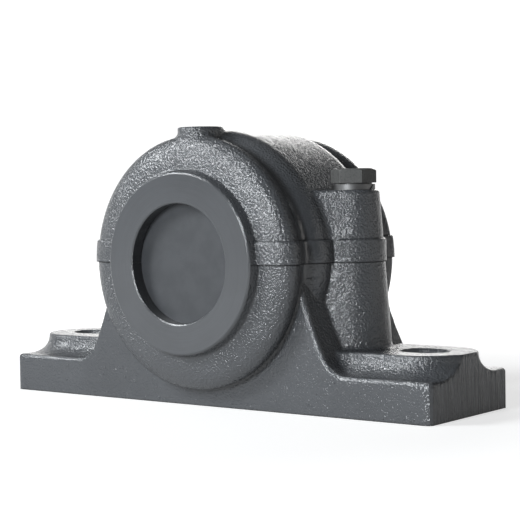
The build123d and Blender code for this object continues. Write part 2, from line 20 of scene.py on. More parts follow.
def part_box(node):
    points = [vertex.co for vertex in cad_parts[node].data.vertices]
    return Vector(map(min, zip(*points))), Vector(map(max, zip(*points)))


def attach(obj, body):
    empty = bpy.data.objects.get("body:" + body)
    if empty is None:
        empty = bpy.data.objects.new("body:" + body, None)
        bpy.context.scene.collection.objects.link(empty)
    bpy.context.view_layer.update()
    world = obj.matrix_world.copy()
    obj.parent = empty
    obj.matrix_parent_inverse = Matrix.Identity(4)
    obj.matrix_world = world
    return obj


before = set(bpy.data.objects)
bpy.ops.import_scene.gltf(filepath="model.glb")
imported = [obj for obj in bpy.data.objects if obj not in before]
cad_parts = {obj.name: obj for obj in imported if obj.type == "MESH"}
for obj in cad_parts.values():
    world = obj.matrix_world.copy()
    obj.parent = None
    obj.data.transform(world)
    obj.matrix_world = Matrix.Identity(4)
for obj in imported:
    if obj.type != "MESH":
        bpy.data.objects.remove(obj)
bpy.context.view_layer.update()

LOG = logging.getLogger("plummer_block")
MM = 0.001
Link = bpy.types.NodeSocket
Node = bpy.types.Node
Material = bpy.types.Material
Value = Union[float, bool, tuple[float, ...], Material, Link]
Inputs = dict[Union[str, int], Value]
Point = tuple[float, float, float]
Colour = tuple[float, float, float, float]
Span = tuple[float, float]
Ramp = tuple[float, float, float, float]

PAINT: Colour = (0.088, 0.093, 0.101, 1.0)
DUST: Colour = (0.42, 0.41, 0.39, 1.0)


def grey(level: float) -> Colour:
    """Return a neutral colour of one level."""
    return (level, level, level, 1.0)


def shade(colour: Colour, factor: float) -> Colour:
    """Return a darker or lighter shade of a colour, with no channel above 1."""
    red, green, blue = (min(1.0, factor * channel) for channel in colour[:3])
    return (red, green, blue, 1.0)


# ---- node graph helpers
class Graph:
    """A small hand for wiring shader and geometry nodes in one tree."""

    def __init__(self, tree: bpy.types.NodeTree) -> None:
        """Hold the tree to which nodes are added.

        Args:
            tree: The node tree of a material, a world or a node group.
        """
        self.tree = tree

    def feed(self, socket: Link, value: Value) -> None:
        """Link an output into an input, or set the input to a constant.

        Args:
            socket: The input socket.
            value: An output socket, or a constant.
        """
        if isinstance(value, Link):
            self.tree.links.new(value, socket)
        else:
            socket.default_value = value

    def node(self, kind: str, inputs: Optional[Inputs] = None, **settings: object) -> Node:
        """Add a node, set its plain properties and then feed its inputs.

        Args:
            kind: The node's type name.
            inputs: Constants and output sockets by input name or number.
            settings: Properties of the node by name.

        Returns:
            The new node.
        """
        made = self.tree.nodes.new(kind)
        for name, value in settings.items():
            setattr(made, name, value)
        for name, value in (inputs or {}).items():
            self.feed(made.inputs[name], value)
        return made

    def out(self, kind: str, inputs: Optional[Inputs] = None, **settings: object) -> Link:
        """Add a node in the same way and return its first output."""
        return self.node(kind, inputs, **settings).outputs[0]

    def math(self, operation: str, first: Value, second: Value = 0.0, clamp: bool = False) -> Link:
        """Return the result of one Math node, which clamp keeps between 0 and 1."""
        inputs = {0: first, 1: second}
        return self.out("ShaderNodeMath", inputs, operation=operation, use_clamp=clamp)

    def times(self, *factors: Value) -> Link:
        """Return the product of two or more numbers."""
        return reduce(partial(self.math, "MULTIPLY"), factors)

    def plus(self, *terms: Value) -> Link:
        """Return the sum of two or more numbers."""
        return reduce(partial(self.math, "ADD"), terms)

    def most(self, *masks: Value) -> Link:
        """Return the greatest of two or more numbers."""
        return reduce(partial(self.math, "MAXIMUM"), masks)

    def outside(self, mask: Value) -> Link:
        """Return one minus a mask, kept between 0 and 1."""
        return self.math("SUBTRACT", 1.0, mask, clamp=True)

    def vector(self, operation: str, first: Value, second: Value) -> Link:
        """Return the vector that one Vector Math node makes of two."""
        return self.out("ShaderNodeVectorMath", {0: first, 1: second}, operation=operation)

    def dot(self, first: Value, second: Value) -> Link:
        """Return the dot product of two vectors."""
        inputs = {0: first, 1: second}
        return self.node("ShaderNodeVectorMath", inputs, operation="DOT_PRODUCT").outputs["Value"]

    def split(self, vector: Value) -> tuple[Link, Link, Link]:
        """Return the X, Y and Z of a vector."""
        made = self.node("ShaderNodeSeparateXYZ", {0: vector})
        return made.outputs[0], made.outputs[1], made.outputs[2]

    def less(self, first: Value, second: Value) -> Link:
        """Return a selection of where one number is less than another."""
        inputs = {0: first, 1: second}
        return self.out("FunctionNodeCompare", inputs, data_type="FLOAT", operation="LESS_THAN")

    def ease(
        self, value: Value, low: float, high: float, floor: float = 0.0, top: float = 1.0
    ) -> Link:
        """Return a smooth step that starts with floor at low and ends with top at high."""
        inputs = {"Value": value, "From Min": low, "From Max": high, "To Min": floor, "To Max": top}
        return self.out("ShaderNodeMapRange", inputs, interpolation_type="SMOOTHSTEP")

    def band(self, value: Value, rise: Span, fall: Span) -> Link:
        """Return a mask between a rise and a fall, each given from outside inwards."""
        return self.times(self.ease(value, *rise), self.ease(value, *fall))

    def noise(self, place: Value, scale: Value, detail: float = 2.0, rough: float = 0.5) -> Link:
        """Return noise of a number of cells for each metre."""
        inputs = {"Vector": place, "Scale": scale, "Detail": detail, "Roughness": rough}
        return self.out("ShaderNodeTexNoise", inputs)

    def stretched(self, place: Value, scale: Point) -> Link:
        """Return coordinates that are scaled along each axis."""
        return self.out("ShaderNodeMapping", {"Vector": place, "Scale": scale})

    def coats(self, base: Value, *coats: tuple[Value, Value]) -> Link:
        """Lay colours over each other.

        Args:
            base: The first colour.
            coats: Mask and colour of each coat, from the lowest up.

        Returns:
            The blended colour.
        """
        for mask, colour in coats:
            mixed = self.node("ShaderNodeMix", {0: mask, 6: base, 7: colour}, data_type="RGBA")
            base = mixed.outputs[2]
        return base

    def levels(self, base: Value, *levels: tuple[Value, Value]) -> Link:
        """Lay numbers over each other.

        Args:
            base: The first number.
            levels: Mask and number of each level, from the lowest up.

        Returns:
            The blended number.
        """
        for mask, number in levels:
            base = self.out("ShaderNodeMix", {0: mask, 2: base, 3: number}, data_type="FLOAT")
        return base

    def rounded(self, radius: Value, samples: int = 6) -> Link:
        """Return the surface's normal with its edges rounded off by a radius."""
        return self.out("ShaderNodeBevel", {"Radius": radius}, samples=samples)

    def normal(self) -> Link:
        """Return the surface's own normal."""
        return self.node("ShaderNodeNewGeometry").outputs["Normal"]

    def fill(self, node: Node, **values: Value) -> None:
        """Feed a node's inputs by name, with _ for a space."""
        for name, value in values.items():
            self.feed(node.inputs[name.replace("_", " ")], value)

    def bump(self, shader: Node, height: Value, depth: float, **under: Value) -> None:
        """Give a shader a relief, which may lie on a Normal that isn't the surface's own."""
        inputs = {"Strength": 1.0, "Distance": depth, "Height": height, **under}
        self.fill(shader, Normal=self.out("ShaderNodeBump", inputs))

    def group(self, group: "Group", **values: Value) -> bpy.types.bpy_prop_collection:
        """Place a node group, feed its inputs by name as fill does, and return its outputs."""
        inputs = {name.replace("_", " "): value for name, value in values.items()}
        return self.node("ShaderNodeGroup", inputs, node_tree=group.tree).outputs


class Socket(Enum):
    """Kinds of socket on the outside of a tree, by what they carry."""

    NUMBER = "NodeSocketFloat"
    WHOLE = "NodeSocketInt"
    VECTOR = "NodeSocketVector"
    FINISH = "NodeSocketMaterial"
    SHAPE = "NodeSocketGeometry"


class Group(Graph):
    """A node group or Geometry Nodes tree with named sockets."""

    def __init__(self, name: str, inputs: dict[str, Socket], outputs: dict[str, Socket]) -> None:
        """Start the tree with its sockets.

        Args:
            name: The tree's name.
            inputs: Kind of each input.
            outputs: Kind of each output; a shape makes it a Geometry Nodes tree.
        """
        shapes = Socket.SHAPE in outputs.values()
        kind = "GeometryNodeTree" if shapes else "ShaderNodeTree"
        super().__init__(bpy.data.node_groups.new(name, kind))
        if shapes:
            self.tree.is_modifier = True
        self.keys: dict[tuple[str, str], str] = {}
        add = self.tree.interface.new_socket
        for side, sockets in (("INPUT", inputs), ("OUTPUT", outputs)):
            for label, carried in sockets.items():
                made = add(label, in_out=side, socket_type=carried.value)
                self.keys[side, label] = made.identifier
        self.given = self.node("NodeGroupInput").outputs
        self.result = self.node("NodeGroupOutput")

    def give(self, **results: Value) -> None:
        """Feed the tree's named outputs."""
        self.fill(self.result, **results)

    def drive(self, piece: bpy.types.Object, name: str, **values: object) -> None:
        """Put the tree on a piece as a modifier.

        Args:
            piece: The piece.
            name: The modifier's name.
            values: Values by input name, with underscores for spaces.
        """
        modifier = piece.modifiers.new(name, "NODES")
        modifier.node_group = self.tree
        for label, value in values.items():
            modifier[self.keys["INPUT", label.replace("_", " ")]] = value


# ---- shared shader groups
class Effects:
    """Shader node groups that several finishes share, each built once."""

    def __init__(self) -> None:
        """Build every group."""
        self.grain = self._grain()
        self.wear = self._wear()
        self.dust = self._dust()
        self.turning = self._turning()

    @staticmethod
    def _grain() -> Group:
        """Build sand-cast skin under paint: rounded lumps over finer grain and slow waves.

        Returns:
            The group.
        """
        lump_share, fine_share, wave_share = 0.55, 0.7, 1.3
        inputs = {"Vector": Socket.VECTOR, "Lump Size": Socket.NUMBER}
        outputs = {"Height": Socket.NUMBER, "Tone": Socket.NUMBER}
        group = Group("CastGrain", inputs, outputs)
        place, size = group.given["Vector"], group.given["Lump Size"]
        per_metre = group.math("DIVIDE", 1.0, size)
        slow = {"Vector": place, "Scale": group.times(per_metre, 0.6)}
        warp = group.node("ShaderNodeTexNoise", slow).outputs["Color"]
        away = group.vector("SUBTRACT", warp, (0.5, 0.5, 0.5))
        sway = {0: away, "Scale": group.times(size, 1.1)}
        shift = group.out("ShaderNodeVectorMath", sway, operation="SCALE")
        bent = group.vector("ADD", place, shift)
        inputs = {"Vector": bent, "Scale": group.times(per_metre, 0.75), "Smoothness": 0.4}
        cells = group.node("ShaderNodeTexVoronoi", inputs, feature="SMOOTH_F1")
        lumps = group.ease(cells.outputs["Distance"], 0.75, 0.15)
        fine = group.noise(bent, group.times(per_metre, 1.2), 3.0, 0.55)
        waves = group.noise(place, group.times(per_metre, 0.11))
        height = group.plus(
            group.times(lumps, lump_share),
            group.times(fine, fine_share),
            group.times(waves, wave_share),
        )
        group.give(Height=height, Tone=group.ease(fine, 0.3, 0.7))
        return group

    @staticmethod
    def _wear() -> Group:
        """Build edges where paint is thin: where a rounded normal turns away, broken by noise.

        Returns:
            The group.
        """
        inputs = {"Vector": Socket.VECTOR, "Radius": Socket.NUMBER, "Amount": Socket.NUMBER}
        group = Group("EdgeWear", inputs, {"Mask": Socket.NUMBER})
        bend = group.dot(group.rounded(group.given["Radius"]), group.normal())
        edge = group.ease(bend, 0.985, 0.86)
        patches = group.ease(group.noise(group.given["Vector"], 260.0, 4.0, 0.6), 0.42, 0.66)
        patchy = group.times(edge, patches)
        group.give(Mask=group.math("MULTIPLY", patchy, group.given["Amount"], clamp=True))
        return group

    @staticmethod
    def _dust() -> Group:
        """Build fine shop dust that settles on what faces up.

        Returns:
            The group.
        """
        inputs = {"Vector": Socket.VECTOR, "Amount": Socket.NUMBER}
        group = Group("ShopDust", inputs, {"Mask": Socket.NUMBER})
        level = group.ease(group.split(group.normal())[2], 0.35, 1.0)
        patches = group.ease(group.noise(group.given["Vector"], 45.0, 5.0, 0.6), 0.35, 0.75)
        patchy = group.times(level, patches)
        group.give(Mask=group.math("MULTIPLY", patchy, group.given["Amount"], clamp=True))
        return group

    @staticmethod
    def _turning() -> Group:
        """Build fine grooves that a lathe leaves round an axis along Y.

        Returns:
            The group.
        """
        inputs = {"Vector": Socket.VECTOR, "Centre": Socket.VECTOR, "Pitch": Socket.NUMBER}
        outputs = {"Height": Socket.NUMBER, "Radius": Socket.NUMBER}
        group = Group("TurningMarks", inputs, outputs)
        offset = group.vector("SUBTRACT", group.given["Vector"], group.given["Centre"])
        across, along, up = group.split(offset)
        radius = group.math("SQRT", group.plus(group.times(across, across), group.times(up, up)))
        turn = group.math("ARCTAN2", up, across)
        grooves = {
            "X": group.math("DIVIDE", radius, group.given["Pitch"]),
            "Y": group.times(turn, 1.5),
            "Z": group.math("DIVIDE", along, group.given["Pitch"]),
        }
        place = group.out("ShaderNodeCombineXYZ", grooves)
        group.give(Height=group.noise(place, 1.0, 3.0, 0.7), Radius=radius)
        return group


# ---- finishes
class Lathe(Enum):
    """How rough a bare steel surface is left."""

    POLISHED = 0.10
    GROUND = 0.24
    TURNED = 0.36
    BLACKENED = 0.48


def start_material(name: str) -> tuple[Material, Graph, Node, Link]:
    """Start a material with its Principled shader and object coordinates.

    Args:
        name: The material's name.

    Returns:
        The material, a graph on its tree, the Principled node and the coordinates.
    """
    material = bpy.data.materials.new(name)
    material.use_nodes = True
    graph = Graph(material.node_tree)
    shader = next(node for node in material.node_tree.nodes if node.type == "BSDF_PRINCIPLED")
    return material, graph, shader, graph.node("ShaderNodeTexCoord").outputs["Object"]


@dataclass(frozen=True)
class HousingSizes:
    """Places of the housing's faces: lengths, and spans from where a zone starts to its full."""

    half_length: float
    half_width: float
    axis_height: float
    seat_radius: float
    groove_radius: float
    half_foot: float = 35.0 * MM
    chamber_half: float = 36.0 * MM
    waist_inner: Span = (20.0 * MM, 27.0 * MM)
    waist_outer: Span = (39.0 * MM, 34.5 * MM)
    waist_depth: Span = (67.0 * MM, 64.0 * MM)
    waist_foot: Span = (62.0 * MM, 64.0 * MM)
    waist_crown: Span = (118.0 * MM, 94.0 * MM)
    joint_gap: Span = (0.9 * MM, 1.2 * MM)

    @classmethod
    def read(cls) -> "HousingSizes":
        """Read the sizes from the boxes of the base, the bearing and the end cover.

        Returns:
            The sizes.
        """
        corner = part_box("housing_base")[1]
        ring_low, ring_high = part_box("bearing_outer_ring")
        cover_low, cover_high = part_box("end_cover")
        return cls(
            half_length=corner.x,
            half_width=corner.y,
            axis_height=corner.z,
            seat_radius=(ring_high.z - ring_low.z) / 2,
            groove_radius=(cover_high.z - cover_low.z) / 2 + 0.3 * MM,
        )


class CastZones:
    """Masks of the zones in which the two castings are finished differently."""

    skin = 0.06 * MM
    pitch = 0.4 * MM
    ring_fade = 1.2 * MM
    side_fade = 1.6 * MM
    end_fade = 2.0 * MM
    seam_fade: Span = (0.32 * MM, 0.12 * MM)

    def __init__(self, graph: Graph, place: Link, effects: Effects, sizes: HousingSizes) -> None:
        """Mark every zone.

        Args:
            graph: A graph on the material.
            place: Object coordinates.
            effects: The shared node groups.
            sizes: Where the housing's faces lie.
        """
        self.graph, self.place, self.sizes = graph, place, sizes
        axis = (0.0, 0.0, sizes.axis_height)
        turning = graph.group(effects.turning, Vector=place, Centre=axis, Pitch=self.pitch)
        self.grooves, self.radius = turning["Height"], turning["Radius"]
        *level, self.height = graph.split(place)
        self.across, self.along = (graph.math("ABSOLUTE", part) for part in level)
        from_axis = graph.math("SUBTRACT", self.height, sizes.axis_height)
        self.from_joint = graph.math("ABSOLUTE", from_axis)
        self.clear = graph.ease(self.from_joint, *sizes.joint_gap)
        self._cast()
        self._machined()
        self.fettled = graph.outside(self.machined)

    def _cast(self) -> None:
        """Mark the foot's long sides and short ends, and the waists beside the barrel."""
        graph, sizes, skin = self.graph, self.sizes, self.skin
        side, end = sizes.half_foot, sizes.half_length
        rise, fall = (side - self.side_fade, side - skin), (side + 3 * skin, side + skin)
        self.side = graph.band(self.along, rise, fall)
        self.end = graph.ease(self.across, end - self.end_fade, end - skin)
        self.waist = graph.times(
            graph.band(self.along, sizes.waist_inner, sizes.waist_outer),
            graph.ease(self.radius, *sizes.waist_depth),
            graph.ease(self.height, *sizes.waist_foot),
            graph.ease(self.height, *sizes.waist_crown),
        )

    def _machined(self) -> None:
        """Mark end rings, bores, seat, underside and joint, and the seam round the joint."""
        graph, sizes, skin = self.graph, self.sizes, self.skin
        width, joint = sizes.half_width, sizes.axis_height
        self.ring = graph.ease(self.along, width - self.ring_fade, width - skin)
        seat = graph.times(
            graph.ease(self.radius, sizes.seat_radius + 2 * skin, sizes.seat_radius + skin),
            graph.ease(self.along, sizes.chamber_half + 0.6 * MM, sizes.chamber_half + 0.3 * MM),
        )
        self.mouth = graph.times(
            graph.ease(self.radius, sizes.groove_radius + 2 * skin, sizes.groove_radius + skin),
            graph.ease(self.along, width - 0.3 * MM, width - 0.9 * MM),
            graph.outside(seat),
        )
        rise, fall = (joint - skin, joint - 0.3 * skin), (joint + skin, joint + 0.3 * skin)
        level = graph.math("ABSOLUTE", graph.split(graph.normal())[2])
        face = graph.times(graph.band(self.height, rise, fall), graph.ease(level, 0.90, 0.98))
        self.bare = graph.most(seat, graph.ease(self.height, 3 * skin, skin), face)
        rise, fall = ([joint + side * gap for gap in self.seam_fade] for side in (-1, 1))
        line = graph.band(self.height, rise, fall)
        beside_ring = graph.ease(self.ring, 0.0, 0.2, 1.0, 0.0)
        self.seam = graph.times(line, graph.outside(self.bare), beside_ring)
        self.machined = graph.most(self.ring, self.bare, self.mouth)


@dataclass(frozen=True)
class CastPaint:
    """Grey semi-gloss paint over a sand casting, with its machined and fettled faces.

    Noses, barrel and columns keep the coarse sand grain. The waists between them and the long
    sides of the foot are smoother, the ring faces are turned smooth under the paint, the foot's
    ends carry the draw of the pattern, and joint, seat and foot underside are bare machined iron.
    """

    name: str = "cast_paint"
    worn: Colour = (0.16, 0.162, 0.17, 1.0)
    iron: Colour = (0.42, 0.42, 0.41, 1.0)
    # painted shade: a dark colour laid into the low spots of the sand grain
    dip_shade: Colour = (0.04, 0.042, 0.045, 1.0)
    # painted shade: a near-black colour laid into corners that ambient occlusion finds
    nook_shade: Colour = (0.03, 0.031, 0.033, 1.0)
    groove: Colour = (0.05, 0.052, 0.055, 1.0)
    # painted shade: the bores inside the end openings are coloured near black, as if in shadow
    mouth: Colour = (0.02, 0.02, 0.021, 1.0)
    seam: Colour = (0.012, 0.012, 0.014, 1.0)
    lump_size: float = 0.86 * MM
    relief: float = 0.37 * MM
    roughness: float = 0.18
    gloss: float = 1.0
    cast_edge: float = 2.6 * MM
    end_edge: float = 3.8 * MM
    band_edge: float = 0.8 * MM
    machined_edge: float = 0.5 * MM
    band_span: Span = (11.0 * MM, 15.0 * MM)
    end_span: Span = (12.0 * MM, 6.0 * MM)
    side_grain: float = 0.52
    waist_grain: float = 0.22
    end_grain: float = 0.30
    lip_grain: float = 0.9
    streak_depth: float = 4.0
    mark_depth: float = 0.14
    seam_depth: float = 0.8
    nook_reach: float = 15.0 * MM
    worn_radius: float = 0.9 * MM
    draw: Point = (1.0, 1.0, 0.09)

    def build(self, effects: Effects, sizes: HousingSizes) -> Material:
        """Make the material.

        Args:
            effects: The shared node groups.
            sizes: Where the housing's faces lie.

        Returns:
            The material.
        """
        material, graph, shader, place = start_material(self.name)
        zones = CastZones(graph, place, effects, sizes)
        grain = graph.group(effects.grain, Vector=place, Lump_Size=self.lump_size)
        streaks = graph.noise(graph.stretched(place, self.draw), 460.0, 3.0, 0.6)
        rounded = self._rounded(zones)
        strength = self._strength(zones, rounded)
        relief = graph.math(
            "SUBTRACT",
            graph.plus(
                graph.times(grain["Height"], strength),
                graph.times(streaks, zones.end, self.streak_depth),
                graph.times(zones.grooves, zones.machined, self.mark_depth),
            ),
            graph.times(zones.seam, self.seam_depth),
        )
        graph.bump(shader, relief, self.relief, Normal=rounded)

        dust = graph.group(effects.dust, Vector=place, Amount=0.12)["Mask"]
        wear = graph.group(effects.wear, Vector=place, Radius=self.worn_radius, Amount=0.5)["Mask"]
        off_waist = graph.ease(zones.radius, *reversed(sizes.waist_depth), 0.15)
        # painted shade: where the grain's bump is low, the colour is darkened
        dips = graph.ease(grain["Height"], 1.0, 0.55)
        shaded_dips = graph.math("MULTIPLY", dips, strength, clamp=True)
        colour = graph.coats(
            shade(PAINT, 0.86),
            (graph.ease(graph.noise(place, 22.0, 4.0, 0.6), 0.3, 0.7), PAINT),
            (graph.times(shaded_dips, 0.45), self.dip_shade),
            # painted shade in the corners, from ambient occlusion
            (graph.times(self._nook_shade(zones), 0.6), self.nook_shade),
            (graph.times(graph.ease(streaks, 0.35, 0.65), zones.end, 0.7), self.groove),
            (graph.times(graph.ease(zones.grooves, 0.35, 0.65), zones.ring, 0.16), self.groove),
            (graph.times(wear, zones.clear, off_waist), self.worn),
            (dust, DUST),
            # painted shade on the bores inside the end openings
            (graph.times(zones.mouth, 0.7), self.mouth),
            (zones.bare, self.iron),
            (graph.times(zones.seam, 0.85), self.seam),
        )
        dull = graph.plus(graph.times(grain["Tone"], 0.12), self.roughness - 0.06)
        rough = graph.levels(
            graph.plus(dull, graph.times(dust, 0.5)),
            (zones.ring, self.roughness + 0.06),
            (zones.seam, 0.9),
            (zones.bare, 0.32),
        )
        graph.fill(shader, Base_Color=colour, Roughness=rough, Metallic=zones.bare)
        graph.fill(shader, Specular_IOR_Level=self.gloss)
        return material

    def _rounded(self, zones: CastZones) -> Link:
        """Return the normal with cast edges rounded more than machined ones.

        Args:
            zones: Masks of the castings' zones.

        Returns:
            The rounded normal's socket.
        """
        graph = zones.graph
        near, far = (zones.sizes.half_length - reach for reach in self.end_span)
        radii = graph.levels(
            graph.ease(zones.from_joint, *self.band_span, self.band_edge, self.cast_edge),
            (zones.side, self.cast_edge),
            (graph.ease(zones.across, near, far), self.end_edge),
            (zones.machined, self.machined_edge),
        )
        return graph.rounded(graph.times(radii, zones.clear), 8)

    def _strength(self, zones: CastZones, rounded: Link) -> Link:
        """Return how strongly the sand grain shows in each zone.

        Args:
            zones: Masks of the castings' zones.
            rounded: The rounded normal.

        Returns:
            The strength's socket.
        """
        graph = zones.graph
        edge = graph.ease(graph.dot(rounded, graph.normal()), 0.99, 0.93)
        lip = graph.times(edge, zones.clear, zones.fettled)
        return graph.levels(
            graph.ease(graph.noise(zones.place, 38.0), 0.3, 0.7, 0.75, 1.15),
            (zones.side, self.side_grain),
            (zones.waist, self.waist_grain),
            (zones.end, self.end_grain),
            (lip, self.lip_grain),
            (zones.machined, 0.0),
        )

    def _nook_shade(self, zones: CastZones) -> Link:
        """Return a mask of painted shade in the corners, found by ambient occlusion, mostly below
        the crown.

        Args:
            zones: Masks of the castings' zones.

        Returns:
            The mask's socket.
        """
        graph = zones.graph
        reach = {"Distance": self.nook_reach}
        nook = graph.node("ShaderNodeAmbientOcclusion", reach, samples=4, only_local=True)
        below = graph.ease(zones.height, 120.0 * MM, 96.0 * MM, 0.3)
        return graph.times(graph.ease(nook.outputs["AO"], 0.85, 0.35), zones.fettled, below)


@dataclass(frozen=True)
class PlainPaint:
    """The same grey paint on a piece with machined faces, such as a bolt or the end cover."""

    name: str
    pitch: float
    paint: Colour = PAINT
    roughness: float = 0.38
    wear: float = 0.6
    worn: Colour = grey(0.20)
    relief: float = 0.03 * MM
    edge: float = 0.35 * MM

    def build(self, effects: Effects, centre: Point) -> Material:
        """Make the material.

        Args:
            effects: The shared node groups.
            centre: A point on the axis of the turning marks.

        Returns:
            The material.
        """
        material, graph, shader, place = start_material(self.name)
        turning = graph.group(effects.turning, Vector=place, Centre=centre, Pitch=self.pitch)
        grain = graph.group(effects.grain, Vector=place, Lump_Size=0.7 * MM)
        wear = graph.group(effects.wear, Vector=place, Radius=0.5 * MM, Amount=self.wear)
        dust = graph.group(effects.dust, Vector=place, Amount=0.2)
        marks = graph.times(turning["Height"], 0.35)
        relief = graph.plus(marks, graph.times(grain["Height"], 0.65))
        graph.bump(shader, relief, self.relief, Normal=graph.rounded(self.edge))
        clouds = graph.ease(graph.noise(place, 90.0, 4.0, 0.6), 0.35, 0.65)
        colour = graph.coats(
            shade(self.paint, 0.85),
            (clouds, self.paint),
            (wear["Mask"], self.worn),
            (dust["Mask"], DUST),
        )
        rough = graph.plus(graph.times(grain["Tone"], 0.12), self.roughness - 0.06)
        graph.fill(shader, Base_Color=colour, Roughness=rough)
        return material


@dataclass(frozen=True)
class BareSteel:
    """Steel or iron as a machine leaves it, with turning marks about one axis."""

    name: str
    colour: Colour
    lathe: Lathe
    pitch: float
    relief: float = 0.006 * MM
    edge: float = 0.15 * MM

    def build(self, effects: Effects, centre: Point) -> Material:
        """Make the material.

        Args:
            effects: The shared node groups.
            centre: A point on the axis of the turning marks.

        Returns:
            The material.
        """
        material, graph, shader, place = start_material(self.name)
        turning = graph.group(effects.turning, Vector=place, Centre=centre, Pitch=self.pitch)
        wear = graph.group(effects.wear, Vector=place, Radius=0.3 * MM, Amount=0.5)
        film = graph.noise(place, 140.0, 4.0, 0.6)
        colour = graph.coats(
            shade(self.colour, 0.8),
            (graph.ease(film, 0.3, 0.7), self.colour),
            (wear["Mask"], shade(self.colour, 1.25)),
        )
        rough = graph.plus(graph.times(film, 0.16), self.lathe.value - 0.08)
        graph.fill(shader, Base_Color=colour, Roughness=rough, Metallic=1.0)
        graph.bump(shader, turning["Height"], self.relief, Normal=graph.rounded(self.edge))
        return material


@dataclass(frozen=True)
class Moulding:
    """Rubber or plastic from a mould, with a faint skin, some dust and streaks of flow."""

    name: str
    colour: Colour
    roughness: float
    fibre: float = 0.0
    dust: Colour = (0.25, 0.24, 0.23, 1.0)
    relief: float = 0.015 * MM
    flow: Point = (1.0, 6.0, 1.0)

    def build(self, effects: Effects) -> Material:
        """Make the material.

        Args:
            effects: The shared node groups.

        Returns:
            The material.
        """
        material, graph, shader, place = start_material(self.name)
        dust = graph.group(effects.dust, Vector=place, Amount=0.25)
        grain = graph.group(effects.grain, Vector=place, Lump_Size=0.35 * MM)
        flow = graph.noise(graph.stretched(place, self.flow), 900.0, 3.0, 0.6)
        streaks = graph.math("MULTIPLY", flow, self.fibre, clamp=True)
        deep = shade(self.colour, 0.75)
        colour = graph.coats(self.colour, (streaks, deep), (dust["Mask"], self.dust))
        rough = graph.plus(graph.times(flow, 0.15), self.roughness - 0.07)
        graph.fill(shader, Base_Color=colour, Roughness=rough)
        graph.bump(shader, grain["Height"], self.relief)
        return material


# ---- geometry trees
class SkinTree:
    """Geometry Nodes that weld a CAD mesh's loose triangles and shade it smooth up to an angle."""

    weld = 0.001 * MM
    crease = math.radians(28)

    def __init__(self) -> None:
        """Build the tree with its named inputs."""
        sizes = {"Weld Distance": Socket.NUMBER, "Crease Angle": Socket.NUMBER}
        tree = Group("WeldedSkin", {"Geometry": Socket.SHAPE, **sizes}, {"Geometry": Socket.SHAPE})
        near = {"Geometry": tree.given["Geometry"], "Distance": tree.given["Weld Distance"]}
        merged = tree.out("GeometryNodeMergeByDistance", near)
        faces = tree.out("GeometryNodeSetShadeSmooth", {"Geometry": merged}, domain="FACE")
        angle = tree.node("GeometryNodeInputMeshEdgeAngle").outputs["Unsigned Angle"]
        folded = tree.less(tree.given["Crease Angle"], angle)
        sharp = {"Geometry": faces, "Selection": folded, "Shade Smooth": False}
        tree.give(Geometry=tree.out("GeometryNodeSetShadeSmooth", sharp, domain="EDGE"))
        self.tree = tree

    def apply_to(self, piece: bpy.types.Object) -> None:
        """Give a CAD piece the welded skin, and normals weighted by its faces' areas.

        Args:
            piece: The piece.
        """
        sizes = {"Weld_Distance": self.weld, "Crease_Angle": self.crease}
        self.tree.drive(piece, "welded_skin", **sizes)
        weights = piece.modifiers.new("face_weights", "WEIGHTED_NORMAL")
        weights.keep_sharp = True


class GrownTree:
    """A Geometry Nodes tree that grows new geometry, which is kept as a plain mesh."""

    name: str
    sizes: dict[str, Socket]

    def __init__(self) -> None:
        """Start the tree with its named inputs, let the subclass wire it, and close it."""
        inputs = {"Geometry": Socket.SHAPE, **self.sizes, "Finish": Socket.FINISH}
        self.tree = Group(self.name, inputs, {"Geometry": Socket.SHAPE})
        painted = {"Geometry": self.wire(self.tree), "Material": self.tree.given["Finish"]}
        self.tree.give(Geometry=self.tree.out("GeometryNodeSetMaterial", painted))

    def wire(self, tree: Group) -> Link:
        """Wire what is grown.

        Args:
            tree: The tree.

        Returns:
            The realized geometry's socket.
        """
        raise NotImplementedError

    def grow(
        self, name: str, source: bpy.types.Mesh, body: str, slot: str, **values: object
    ) -> None:
        """Run the tree on a mesh and keep the result as a piece that rides a body.

        Args:
            name: The new piece's name.
            source: The mesh that the tree starts from.
            body: The body that the piece rides.
            slot: Not used.
            values: Values by input name, with underscores for spaces.
        """
        piece = bpy.data.objects.new(name, source)
        bpy.context.scene.collection.objects.link(piece)
        self.tree.drive(piece, name, **values)
        evaluated = piece.evaluated_get(bpy.context.evaluated_depsgraph_get())
        grown = bpy.data.meshes.new_from_object(evaluated)
        piece.modifiers.clear()
        piece.data = grown
        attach(piece, body)
        LOG.info("grew %s with %d faces", name, len(grown.polygons))


